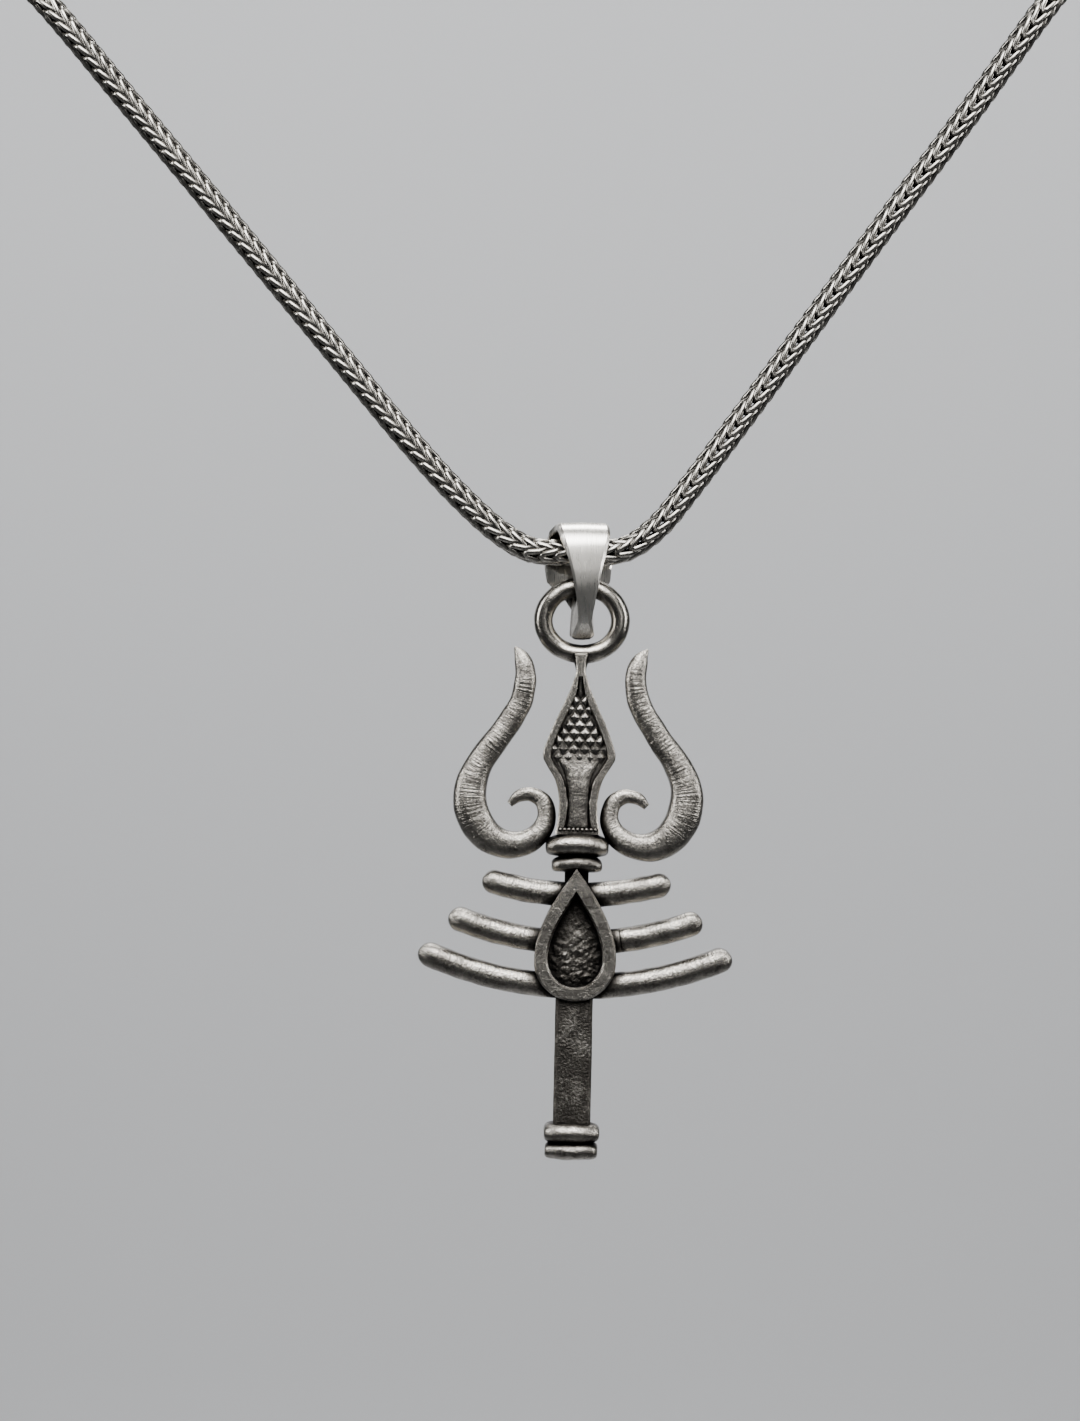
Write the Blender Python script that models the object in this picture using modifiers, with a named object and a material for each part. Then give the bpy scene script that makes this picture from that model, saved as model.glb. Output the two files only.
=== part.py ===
# Trident pendant on a round braided chain, hanging from the nape of a neck.
# Metres, +Z up, +X to the wearer's left as seen from the front, the front faces -Y.
# The origin is at the middle of the clasp, where the necklace hangs at the nape.

import math

import bmesh
import bpy
from mathutils import Matrix, Vector

MM = 0.001
NAME = "trident_pendant"

# Chain: a round braid, with the route of its centreline in millimetres from the clasp
CHAIN_DIAMETER = 2.65 * MM
CHAIN_ROUTE_MM = [
    (-5.2, 0.0, 0.0), (-15.0, -1.0, -0.5), (-28.0, -4.6, -2.6), (-41.0, -11.5, -6.6),
    (-53.0, -22.0, -12.2), (-62.5, -36.0, -19.2), (-68.3, -53.0, -27.6), (-69.6, -72.0, -37.0),
    (-66.8, -90.0, -47.3), (-61.4, -104.5, -58.0), (-55.2, -114.0, -67.8), (-48.9, -118.0, -74.4),
    (-40.3, -118.0, -84.7), (-31.5, -118.0, -95.3), (-22.2, -118.0, -106.6), (-15.4, -118.0, -114.8),
    (-11.4, -118.0, -119.2), (-7.5, -118.0, -122.75), (-4.7, -118.0, -124.35), (-2.3, -118.0, -124.6),
    (0.0, -118.0, -124.6), (2.3, -118.0, -124.6), (4.3, -118.0, -124.15), (7.0, -118.0, -122.15),
    (9.7, -118.0, -118.85), (13.8, -118.0, -113.4), (20.6, -118.0, -104.2), (28.0, -118.0, -94.2),
    (35.5, -118.0, -84.2), (42.6, -118.0, -74.4), (48.6, -114.0, -67.1), (55.0, -104.5, -56.8),
    (60.8, -90.0, -46.3), (64.4, -72.0, -36.4), (64.2, -53.0, -27.2), (59.4, -36.0, -19.0),
    (50.8, -22.0, -12.1), (39.8, -11.5, -6.6), (27.5, -4.6, -2.6), (15.0, -1.0, -0.5),
    (5.2, 0.0, 0.0),
]
CHAIN_LOW_MM = (0.0, -118.0, -124.6)
CHAIN_STEPS = 2

# Clasp: a plain barrel with a socket in each end for the chain
CLASP_LENGTH = 14.0 * MM
CLASP_DIAMETER = 4.6 * MM
CLASP_EDGE = 0.5 * MM
CLASP_SEAT = 0.3 * MM

# Bail: a ribbon bent round the chain, with a solid lower tip that carries the ring
BAIL_WALL = 0.76 * MM
BAIL_CHAIN_GAP = 0.6 * MM
BAIL_RING_GAP = 0.4 * MM
BAIL_TIP_THICKNESS = 2.1 * MM
BAIL_TIP_GAP = 0.46 * MM
BAIL_WIDTH = 4.75 * MM
BAIL_BACK_WIDTH = 6.2 * MM
BAIL_TIP_WIDTH = 1.25 * MM
BAIL_FLARE_WIDTH = 2.7 * MM
BAIL_YAW = math.radians(8.5)
# Half widths of the ribbon from its crest down to its tip: share of the height,
# then shares of the named widths that each stretch runs between
BAIL_FRONT = [
    (0.00, "width", 1.0), (0.10, "width", 0.95), (0.25, "width", 0.78), (0.45, "width", 0.57),
    (0.65, "width", 0.39), (0.80, "tip", 1.0), (0.83, "tip", 1.05), (0.92, "flare", 1.0),
    (1.00, "flare", 0.70),
]
BAIL_BACK = [
    (0.00, "width", 1.0), (0.20, "back", 0.92), (0.40, "back", 1.0), (0.55, "back", 0.97),
    (0.70, "back", 0.72), (0.83, "flare", 0.95), (1.00, "flare", 0.70),
]

# Trident: sizes down its own axis, which starts at the middle of the soldered ring
RING_DROP = 6.18 * MM
ROLL = math.radians(1.2)
RING_WIDTH = 8.75 * MM
RING_HEIGHT = 7.85 * MM
RING_WIRE = 1.73 * MM
NECK_LENGTH = 0.8 * MM
NECK_DIAMETER = 1.1 * MM
CASTING_BACK = 1.1 * MM
BACK_MARGIN = 0.4 * MM

SPEAR_LENGTH = 14.7 * MM
SPEAR_WIDTH = 6.75 * MM
SPEAR_FRONT = 1.2 * MM
SPEAR_RIM = 0.75 * MM
SPEAR_RECESS = 0.5 * MM
SPEAR_RIB_WIDTH = 1.5 * MM
# Share of the length down the spear, then share of its full width
SPEAR_OUTLINE = [
    (0.00, 0.12), (0.11, 0.28), (0.21, 0.475), (0.31, 0.68), (0.40, 0.84), (0.48, 0.96),
    (0.525, 1.0), (0.59, 0.84), (0.655, 0.65), (0.73, 0.555), (0.80, 0.515), (0.895, 0.527),
    (1.00, 0.61),
]
SPEAR_RECESS_TOP = 0.15
SPEAR_RECESS_FOOT = 0.96
SPEAR_RIB_TOP = 0.68

COLLAR_HEIGHT = 2.0 * MM
COLLAR_WIDTH = 5.55 * MM
COLLAR_FRONT = 2.0 * MM
NECKLET_HEIGHT = 1.3 * MM
NECKLET_WIDTH = 4.1 * MM
NECKLET_FRONT = 1.6 * MM
BEAD_ROUNDING = 0.46

PRONG_LENGTH = 18.05 * MM
PRONG_FOOT = 1.125 * MM
PRONG_REACH = 9.85 * MM
PRONG_WIDTH = 3.12 * MM
PRONG_DEPTH = 0.82
# The lowest point of a prong's centreline lies PRONG_FOOT below the top of the collar. Each
# point down and up the right prong: shares of its reach, its length and its width
PRONG_POINTS = [
    (0.614, 0.000, 0.09), (0.548, 0.055, 0.46), (0.508, 0.144, 0.62), (0.538, 0.260, 0.67),
    (0.629, 0.360, 0.70), (0.761, 0.468, 0.73), (0.898, 0.571, 0.79), (0.985, 0.680, 0.90),
    (1.000, 0.781, 0.99), (0.949, 0.875, 1.00), (0.832, 0.956, 0.94), (0.670, 0.997, 0.84),
    (0.482, 0.986, 0.74), (0.345, 0.931, 0.64), (0.289, 0.853, 0.54), (0.325, 0.776, 0.49),
    (0.437, 0.742, 0.43), (0.548, 0.753, 0.37), (0.634, 0.795, 0.21),
]
PRONG_STEPS = 2

# Cross bars: each is a round-ended arc, bowed downward, with its drop below the teardrop's point
BAR_WIDTH = 2.25 * MM
BAR_FRONT = 1.0 * MM
BAR_EDGE = 0.6 * MM
TOP_BAR_REACH = 7.45 * MM
TOP_BAR_BOW = 1.0 * MM
TOP_BAR_DROP = 2.225 * MM
MIDDLE_BAR_REACH = 10.45 * MM
MIDDLE_BAR_BOW = 1.9 * MM
MIDDLE_BAR_DROP = 6.575 * MM
LOW_BAR_REACH = 13.14 * MM
LOW_BAR_BOW = 2.62 * MM
LOW_BAR_DROP = 10.575 * MM
BAR_ARC_STEPS = 14
BAR_CAP_STEPS = 6

# Teardrop frame, open to a sunk floor
DROP_LENGTH = 11.8 * MM
DROP_WIDTH = 7.45 * MM
DROP_RIM = 1.23 * MM
DROP_FRONT = 1.85 * MM
DROP_SINK = 1.15 * MM
DROP_WIDEST = 0.70
DROP_STEPS = 12
DROP_APEX_RIM = 2.09 * MM
STEM_WIDTH = 2.2 * MM
STEM_FRONT = 0.2 * MM

SHAFT_LENGTH = 11.1 * MM
SHAFT_WIDTH = 3.3 * MM
SHAFT_FRONT = 1.2 * MM
SHAFT_EDGE = 0.25 * MM
FOOT_HEIGHT = 1.9 * MM
FOOT_WIDTH = 4.9 * MM
FOOT_FRONT = 1.85 * MM
TOE_HEIGHT = 1.55 * MM
TOE_WIDTH = 4.6 * MM
TOE_FRONT = 1.65 * MM
JOIN_OVERLAP = 0.2 * MM

# Places that follow from the sizes
CHAIN_LOW = Vector(CHAIN_LOW_MM) * MM
RING_CENTRE = CHAIN_LOW - Vector((0, 0, RING_DROP))
SPEAR_TOP = RING_HEIGHT / 2 + NECK_LENGTH
COLLAR_TOP = SPEAR_TOP + SPEAR_LENGTH
NECKLET_TOP = COLLAR_TOP + COLLAR_HEIGHT
DROP_TOP = NECKLET_TOP + NECKLET_HEIGHT
SHAFT_TOP = DROP_TOP + DROP_LENGTH
FOOT_TOP = SHAFT_TOP + SHAFT_LENGTH
TOE_TOP = FOOT_TOP + FOOT_HEIGHT
TOTAL_DROP = TOE_TOP + TOE_HEIGHT
PRONG_TIP = COLLAR_TOP + PRONG_FOOT - PRONG_LENGTH
BAIL_CREST = CHAIN_DIAMETER / 2 + BAIL_CHAIN_GAP + BAIL_WALL
BAIL_HEIGHT = BAIL_CREST + RING_DROP + RING_HEIGHT / 2 - RING_WIRE - BAIL_TIP_GAP


def clearScene():
    for item in list(bpy.data.objects):
        bpy.data.objects.remove(item, do_unlink=True)


def makeCollection(name):
    collection = bpy.data.collections.new(name)
    bpy.context.scene.collection.children.link(collection)
    return collection


def makeMaterial(name, colour, roughness):
    material = bpy.data.materials.new(name)
    material.use_nodes = True
    shader = material.node_tree.nodes["Principled BSDF"]
    shader.inputs["Base Color"].default_value = (*colour, 1.0)
    shader.inputs["Metallic"].default_value = 1.0
    shader.inputs["Roughness"].default_value = roughness
    return material


def addMeshObject(name, mesh, collection):
    item = bpy.data.objects.new(name, mesh)
    collection.objects.link(item)
    return item


def addFromBmesh(name, bm, collection):
    bmesh.ops.recalc_face_normals(bm, faces=bm.faces)
    mesh = bpy.data.meshes.new(name)
    bm.to_mesh(mesh)
    bm.free()
    return addMeshObject(name, mesh, collection)


def meshFromCurve(item):
    # A curve's caps are loose, so they are welded before the shape is joined to another
    graph = bpy.context.evaluated_depsgraph_get()
    mesh = bpy.data.meshes.new_from_object(item.evaluated_get(graph))
    bm = bmesh.new()
    bm.from_mesh(mesh)
    bmesh.ops.remove_doubles(bm, verts=bm.verts, dist=0.00001)
    bm.to_mesh(mesh)
    bm.free()
    solid = addMeshObject(item.name + "_solid", mesh, item.users_collection[0])
    solid.matrix_world = item.matrix_world.copy()
    bpy.data.objects.remove(item, do_unlink=True)
    return solid


def smoothRoute(points, steps):
    # Centripetal Catmull-Rom curve through the points, which may carry a width as well
    first = points[0] * 2 - points[1]
    last = points[-1] * 2 - points[-2]
    padded = [first] + points + [last]
    route = []
    for i in range(1, len(padded) - 2):
        p0, p1, p2, p3 = padded[i - 1:i + 3]
        t1 = math.sqrt((p1 - p0).length)
        t2 = t1 + math.sqrt((p2 - p1).length)
        t3 = t2 + math.sqrt((p3 - p2).length)
        for step in range(steps):
            t = t1 + (t2 - t1) * step / steps
            a1 = p0.lerp(p1, t / t1)
            a2 = p1.lerp(p2, (t - t1) / (t2 - t1))
            a3 = p2.lerp(p3, (t - t2) / (t3 - t2))
            b1 = a1.lerp(a2, t / t2)
            b2 = a2.lerp(a3, (t - t1) / (t3 - t1))
            route.append(b1.lerp(b2, (t - t1) / (t2 - t1)))
    route.append(points[-1].copy())
    return route


def addTube(name, route, radii, resolution, collection):
    widest = max(radii)
    curve = bpy.data.curves.new(name, "CURVE")
    curve.dimensions = "3D"
    curve.bevel_depth = widest
    curve.bevel_resolution = resolution
    curve.use_fill_caps = True
    spline = curve.splines.new("POLY")
    spline.points.add(len(route) - 1)
    for point, place, radius in zip(spline.points, route, radii):
        point.co = (place.x, place.y, place.z, 1.0)
        point.radius = radius / widest
    return addMeshObject(name, curve, collection)


def addPlate(name, outline, front, back, edge, collection):
    # A flat outline in the XZ plane, given as pairs of across and drop, from front to back
    curve = bpy.data.curves.new(name, "CURVE")
    curve.dimensions = "2D"
    curve.fill_mode = "BOTH"
    curve.extrude = (front + back) / 2 - edge
    curve.bevel_depth = edge
    curve.bevel_resolution = 0
    curve.offset = -edge
    spline = curve.splines.new("POLY")
    spline.points.add(len(outline) - 1)
    for point, (across, drop) in zip(spline.points, outline):
        point.co = (across, -drop, 0.0, 1.0)
    spline.use_cyclic_u = True
    plate = addMeshObject(name, curve, collection)
    plate.matrix_world = Matrix.Translation((0, (back - front) / 2, 0)) @ Matrix.Rotation(math.pi / 2, 4, "X")
    bpy.context.view_layer.update()
    return meshFromCurve(plate)


def addBlock(name, width, top, height, front, back, rounding, segments, collection):
    # A block across the axis, from its front to its back, with its long edges rounded
    bm = bmesh.new()
    size = Matrix.Diagonal((width, front + back, height, 1.0))
    place = Matrix.Translation((0, (back - front) / 2, -top - height / 2))
    bmesh.ops.create_cube(bm, size=1.0, matrix=place @ size)
    block = addFromBmesh(name, bm, collection)
    if rounding > 0.0:
        bevel = block.modifiers.new("rounding", "BEVEL")
        bevel.width = rounding
        bevel.segments = segments
        bevel.limit_method = "ANGLE"
    return block


def join(target, piece, operation="UNION"):
    modifier = target.modifiers.new(piece.name, "BOOLEAN")
    modifier.operation = operation
    modifier.solver = "EXACT"
    modifier.object = piece
    piece.hide_render = True
    piece.display_type = "WIRE"


def lerpTable(table, share):
    for (s0, w0), (s1, w1) in zip(table, table[1:]):
        if share <= s1:
            return w0 + (w1 - w0) * (share - s0) / (s1 - s0)
    return table[-1][1]


def spearHalfWidth(share, inset):
    return lerpTable(SPEAR_OUTLINE, share) * SPEAR_WIDTH / 2 - inset


def mirrored(rightSide):
    return rightSide + [(-across, drop) for across, drop in reversed(rightSide)]


def makeSpear(cutters):
    right = [(spearHalfWidth(share, 0.0), SPEAR_TOP + share * SPEAR_LENGTH) for share, _ in SPEAR_OUTLINE]
    right.append((right[-1][0], COLLAR_TOP + JOIN_OVERLAP))
    return addPlate("spear", mirrored(right), SPEAR_FRONT, CASTING_BACK + BACK_MARGIN, 0.0, cutters)


def makeSpearRecess(cutters):
    shares = [SPEAR_RECESS_TOP, 0.21, 0.31, 0.40, 0.48, 0.525, 0.59, 0.655, 0.73, 0.80, 0.895,
              SPEAR_RECESS_FOOT]
    right = [(max(spearHalfWidth(share, SPEAR_RIM), SPEAR_RIM / 4), SPEAR_TOP + share * SPEAR_LENGTH)
             for share in shares]
    return addPlate("spear_recess", mirrored(right), SPEAR_FRONT + BACK_MARGIN, SPEAR_RECESS - SPEAR_FRONT,
                    0.0, cutters)


def makeProng(side, cutters):
    points = [Vector((across * PRONG_REACH * side, width * PRONG_WIDTH / 2,
                      -PRONG_TIP - down * PRONG_LENGTH)) for across, down, width in PRONG_POINTS]
    route = smoothRoute(points, PRONG_STEPS)
    radii = [place.y for place in route]
    flat = [Vector((place.x, 0, place.z)) for place in route]
    name = "prong_right" if side > 0 else "prong_left"
    prong = addTube(name, flat, radii, 2, cutters)
    prong.scale = (1.0, PRONG_DEPTH, 1.0)
    bpy.context.view_layer.update()
    return meshFromCurve(prong)


def barOutline(reach, bow, drop):
    # Two arcs about one centre above the bar, and a half circle at each end
    radius = (reach * reach + bow * bow) / (2 * bow)
    swing = math.asin(reach / radius)
    half = BAR_WIDTH / 2
    outline = []
    for step in range(BAR_ARC_STEPS + 1):
        angle = -swing + 2 * swing * step / BAR_ARC_STEPS
        outline.append(((radius + half) * math.sin(angle), drop - radius + (radius + half) * math.cos(angle)))
    for step in range(1, BAR_CAP_STEPS):
        turn = math.pi * step / BAR_CAP_STEPS
        outline.append(capPoint(radius, swing, half, turn, drop))
    for step in range(BAR_ARC_STEPS + 1):
        angle = swing - 2 * swing * step / BAR_ARC_STEPS
        outline.append(((radius - half) * math.sin(angle), drop - radius + (radius - half) * math.cos(angle)))
    for step in range(1, BAR_CAP_STEPS):
        turn = math.pi * (1 - step / BAR_CAP_STEPS)
        across, down = capPoint(radius, swing, half, turn, drop)
        outline.append((-across, down))
    return outline


def capPoint(radius, swing, half, turn, drop):
    out = radius + half * math.cos(turn)
    along = half * math.sin(turn)
    across = out * math.sin(swing) + along * math.cos(swing)
    down = drop - radius + out * math.cos(swing) - along * math.sin(swing)
    return across, down


def dropOutline(width, top, length):
    # A teardrop: from its point each flank swells as a sine, and below the widest place it
    # is half an ellipse
    right = []
    for step in range(1, DROP_STEPS + 1):
        share = step / DROP_STEPS
        right.append((width / 2 * math.sin(math.pi / 2 * share), top + length * DROP_WIDEST * share))
    for step in range(1, DROP_STEPS):
        angle = math.pi / 2 * step / DROP_STEPS
        right.append((width / 2 * math.cos(angle),
                      top + length * (DROP_WIDEST + (1 - DROP_WIDEST) * math.sin(angle))))
    left = [(-across, drop) for across, drop in reversed(right)]
    return [(0.0, top)] + right + [(0.0, top + length)] + left


def makeTrident(parts, cutters, material):
    bpy.ops.mesh.primitive_torus_add(
        major_segments=28, minor_segments=10, major_radius=(RING_WIDTH - RING_WIRE) / 2,
        minor_radius=RING_WIRE / 2, rotation=(math.pi / 2, 0, 0))
    trident = bpy.context.object
    for owner in list(trident.users_collection):
        owner.objects.unlink(trident)
    parts.objects.link(trident)
    trident.name = "trident"
    trident.data.transform(Matrix.Rotation(math.pi / 2, 4, "X"))
    trident.rotation_euler = (0, 0, 0)
    for vertex in trident.data.vertices:
        # The wire keeps its thickness while the ring is pressed into an oval
        vertex.co.z += Vector((vertex.co.x, 0, vertex.co.z)).normalized().z * (RING_HEIGHT - RING_WIDTH) / 2

    neckTop = RING_HEIGHT / 2 - RING_WIRE / 2
    neckFoot = SPEAR_TOP + 2 * JOIN_OVERLAP
    bm = bmesh.new()
    bmesh.ops.create_cone(
        bm, cap_ends=True, segments=12, radius1=NECK_DIAMETER / 2 * 1.15, radius2=NECK_DIAMETER / 2,
        depth=neckFoot - neckTop, matrix=Matrix.Translation((0, 0, -(neckFoot + neckTop) / 2)))
    join(trident, addFromBmesh("neck", bm, cutters))

    deep = CASTING_BACK + BACK_MARGIN
    join(trident, makeSpear(cutters))
    for side in (1, -1):
        join(trident, makeProng(side, cutters))
    bars = [("top_bar", TOP_BAR_REACH, TOP_BAR_BOW, TOP_BAR_DROP),
            ("middle_bar", MIDDLE_BAR_REACH, MIDDLE_BAR_BOW, MIDDLE_BAR_DROP),
            ("low_bar", LOW_BAR_REACH, LOW_BAR_BOW, LOW_BAR_DROP)]
    for name, reach, bow, drop in bars:
        outline = barOutline(reach, bow, DROP_TOP + drop)
        join(trident, addPlate(name, outline, BAR_FRONT, deep, BAR_EDGE, cutters))
    join(trident, addBlock("shaft", SHAFT_WIDTH, SHAFT_TOP - 3 * JOIN_OVERLAP,
                           SHAFT_LENGTH + 4 * JOIN_OVERLAP, SHAFT_FRONT, deep, SHAFT_EDGE, 1, cutters))
    stemTop = NECKLET_TOP + NECKLET_HEIGHT / 2
    stemFoot = DROP_TOP + TOP_BAR_DROP
    join(trident, addBlock("stem", STEM_WIDTH, stemTop, stemFoot - stemTop, STEM_FRONT, deep, 0.0, 1,
                           cutters))
    teardrop = dropOutline(DROP_WIDTH, DROP_TOP - JOIN_OVERLAP, DROP_LENGTH + JOIN_OVERLAP)
    join(trident, addPlate("teardrop", teardrop, DROP_FRONT, deep, 0.0, cutters))
    beads = [("collar", COLLAR_WIDTH, COLLAR_TOP, COLLAR_HEIGHT, COLLAR_FRONT),
             ("necklet", NECKLET_WIDTH, NECKLET_TOP, NECKLET_HEIGHT, NECKLET_FRONT),
             ("foot", FOOT_WIDTH, FOOT_TOP, FOOT_HEIGHT, FOOT_FRONT),
             ("toe", TOE_WIDTH, TOE_TOP, TOE_HEIGHT, TOE_FRONT)]
    for name, width, top, height, front in beads:
        bead = addBlock(name, width, top - JOIN_OVERLAP / 4, height + JOIN_OVERLAP / 2, front, deep,
                        height * BEAD_ROUNDING, 3, cutters)
        join(trident, bead)

    inner = dropOutline(DROP_WIDTH - 2 * DROP_RIM, DROP_TOP + DROP_APEX_RIM,
                        DROP_LENGTH - DROP_RIM - DROP_APEX_RIM)
    join(trident, addPlate("teardrop_recess", inner, DROP_FRONT + BACK_MARGIN, DROP_SINK - DROP_FRONT,
                           0.0, cutters), "DIFFERENCE")
    join(trident, makeSpearRecess(cutters), "DIFFERENCE")
    ribTop = SPEAR_TOP + SPEAR_RIB_TOP * SPEAR_LENGTH
    join(trident, addBlock("spear_rib", SPEAR_RIB_WIDTH, ribTop, COLLAR_TOP - ribTop + JOIN_OVERLAP,
                           SPEAR_FRONT - JOIN_OVERLAP / 2, 0.0, SHAFT_EDGE, 1, cutters))
    slab = addBlock("back_slab", 3 * LOW_BAR_REACH, -RING_HEIGHT, RING_HEIGHT + 2 * TOTAL_DROP,
                    -CASTING_BACK, CASTING_BACK + 4 * DROP_FRONT, 0.0, 1, cutters)
    join(trident, slab, "DIFFERENCE")

    trident.data.materials.append(material)
    return trident


def hullStation(share, highRadius, highZ, lowRadius, lowZ, side):
    # A point on the outline round two circles, one above the other. The share runs from 0 at
    # the crest through 0.4 and 0.8, the ends of the straight flank, to 1 at the lowest point
    lean = math.asin((highRadius - lowRadius) / (highZ - lowZ))
    flank = math.pi / 2 + lean
    if share <= 0.4:
        angle = flank * share / 0.4
        return Vector((0, side * highRadius * math.sin(angle), highZ + highRadius * math.cos(angle)))
    if share >= 0.8:
        angle = flank + (math.pi - flank) * (share - 0.8) / 0.2
        return Vector((0, side * lowRadius * math.sin(angle), lowZ + lowRadius * math.cos(angle)))
    top = hullStation(0.4, highRadius, highZ, lowRadius, lowZ, side)
    foot = hullStation(0.8, highRadius, highZ, lowRadius, lowZ, side)
    return top.lerp(foot, (share - 0.4) / 0.4)


def bailWidth(table, drop):
    sizes = {"width": BAIL_WIDTH, "back": BAIL_BACK_WIDTH, "tip": BAIL_TIP_WIDTH, "flare": BAIL_FLARE_WIDTH}
    return lerpTable([(share * BAIL_HEIGHT, sizes[name] * part) for share, name, part in table], drop)


def bailCircles():
    # Outer and inner outlines, each as high radius and place, then low radius and place
    outerLow = BAIL_TIP_THICKNESS / 2
    outerLowZ = BAIL_CREST - BAIL_HEIGHT + outerLow
    innerLow = RING_WIRE / 2 + BAIL_RING_GAP
    innerLowZ = -RING_DROP + (RING_HEIGHT - RING_WIRE) / 2
    return (BAIL_CREST, 0.0, outerLow, outerLowZ), (BAIL_CREST - BAIL_WALL, 0.0, innerLow, innerLowZ)


def makeBail(parts, material):
    # A closed loop of sections, each with an inner and an outer edge line across the ribbon
    outer, inner = bailCircles()
    half = [i / 40 for i in range(0, 17)] + [0.45 + i * 0.05 for i in range(0, 7)]
    half += [0.8 + i / 40 for i in range(0, 9)]
    stations = [(share, -1, BAIL_FRONT) for share in half]
    stations += [(share, 1, BAIL_BACK) for share in reversed(half[1:-1])]
    bm = bmesh.new()
    rows = []
    for share, side, table in stations:
        outside = hullStation(share, *outer, side)
        inside = hullStation(share, *inner, side)
        width = bailWidth(table, outer[0] - outside.z) / 2
        across = Vector((width, 0, 0))
        rows.append([bm.verts.new(place) for place in
                     (outside - across, outside + across, inside + across, inside - across)])
    for row, following in zip(rows, rows[1:] + rows[:1]):
        for k in range(4):
            bm.faces.new((row[k], row[(k + 1) % 4], following[(k + 1) % 4], following[k]))
    bail = addFromBmesh("bail", bm, parts)
    bail.data.materials.append(material)
    return bail


def makeChain(parts, material):
    route = smoothRoute([Vector(place) * MM for place in CHAIN_ROUTE_MM], CHAIN_STEPS)
    chain = addTube("chain", route, [CHAIN_DIAMETER / 2] * len(route), 2, parts)
    chain.data.materials.append(material)
    return chain


def makeClasp(parts, cutters, material):
    # The profile runs from the axis round the closed middle web and out along the barrel
    chainEnd = CHAIN_ROUTE_MM[-1][0] * MM
    bore = CHAIN_DIAMETER / 2 + CLASP_SEAT
    web = chainEnd - CLASP_SEAT
    outside = CLASP_DIAMETER / 2
    end = CLASP_LENGTH / 2
    profile = [(-web, 0.0), (-web, bore), (-end, bore), (-end, outside - CLASP_EDGE),
               (-end + CLASP_EDGE, outside), (end - CLASP_EDGE, outside), (end, outside - CLASP_EDGE),
               (end, bore), (web, bore), (web, 0.0)]
    bm = bmesh.new()
    line = [bm.verts.new((along, radius, 0.0)) for along, radius in profile]
    for first, second in zip(line, line[1:]):
        bm.edges.new((first, second))
    bmesh.ops.spin(bm, geom=bm.verts[:] + bm.edges[:], cent=(0, 0, 0), axis=(1, 0, 0),
                   angle=2 * math.pi, steps=24, use_merge=True)
    bmesh.ops.remove_doubles(bm, verts=bm.verts, dist=0.000001)
    clasp = addFromBmesh("clasp", bm, parts)
    clasp.data.materials.append(material)
    return clasp


def shadeRound(item, angle):
    item.data.shade_smooth()
    item.data.set_sharp_from_angle(angle=angle)


def main():
    clearScene()
    parts = makeCollection(NAME)
    cutters = makeCollection(NAME + "_joined_pieces")
    castSilver = makeMaterial("cast_silver", (0.52, 0.51, 0.49), 0.38)
    bailSilver = makeMaterial("bail_silver", (0.62, 0.61, 0.59), 0.22)
    chainSilver = makeMaterial("chain_silver", (0.50, 0.49, 0.47), 0.30)
    claspSilver = makeMaterial("clasp_silver", (0.55, 0.54, 0.52), 0.30)

    makeChain(parts, chainSilver)
    clasp = makeClasp(parts, cutters, claspSilver)
    bail = makeBail(parts, bailSilver)
    bail.location = CHAIN_LOW
    bail.rotation_euler = (0, 0, BAIL_YAW)
    trident = makeTrident(parts, cutters, castSilver)
    pendant = bpy.data.objects.new("pendant_axis", None)
    parts.objects.link(pendant)
    pendant.location = RING_CENTRE
    pendant.rotation_euler = (0, ROLL, 0)
    for item in [trident] + list(cutters.objects):
        item.parent = pendant
    for item in (clasp, bail, trident):
        shadeRound(item, math.radians(35))


main()
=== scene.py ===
# Trident pendant on a round braided chain, in oxidised silver, hung on its own against a pale studio floor.
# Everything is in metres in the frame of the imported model: +Z up, the front faces -Y.

import math
import random

import bmesh
import bpy
from mathutils import Matrix, Vector, noise


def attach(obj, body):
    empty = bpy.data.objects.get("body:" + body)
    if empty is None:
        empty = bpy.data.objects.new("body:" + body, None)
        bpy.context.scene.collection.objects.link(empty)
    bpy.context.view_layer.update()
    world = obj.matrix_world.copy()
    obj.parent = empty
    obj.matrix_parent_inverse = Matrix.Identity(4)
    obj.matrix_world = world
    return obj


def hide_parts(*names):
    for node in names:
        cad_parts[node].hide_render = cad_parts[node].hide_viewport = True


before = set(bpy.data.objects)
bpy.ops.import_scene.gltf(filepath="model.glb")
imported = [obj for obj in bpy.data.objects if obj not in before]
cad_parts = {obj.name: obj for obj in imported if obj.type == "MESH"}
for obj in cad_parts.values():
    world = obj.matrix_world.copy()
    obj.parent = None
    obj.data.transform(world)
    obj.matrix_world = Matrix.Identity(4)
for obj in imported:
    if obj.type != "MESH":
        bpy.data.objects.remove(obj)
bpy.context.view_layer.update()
mm = 0.001
random.seed(7)

# places shared by the pieces, as in the part's source
chainLow = Vector((0.0, -118.0, -124.6)) * mm
hang = {
    "ringDrop": 6.18, "roll": 1.2, "castingBack": 1.1,
    "spearTop": 4.725, "dropTop": 22.725, "shaftTop": 34.525,
}
ringCentre = chainLow - Vector((0, 0, hang["ringDrop"] * mm))
pendantPlace = Matrix.Translation(ringCentre) @ Matrix.Rotation(math.radians(hang["roll"]), 4, "Y")
castingBack = hang["castingBack"] * mm


# Small helpers

def linearColour(code):
    channels = [int(code[i:i + 2], 16) / 255 for i in (1, 3, 5)]
    return [c / 12.92 if c <= 0.04045 else ((c + 0.055) / 1.055) ** 2.4 for c in channels] + [1.0]


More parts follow.
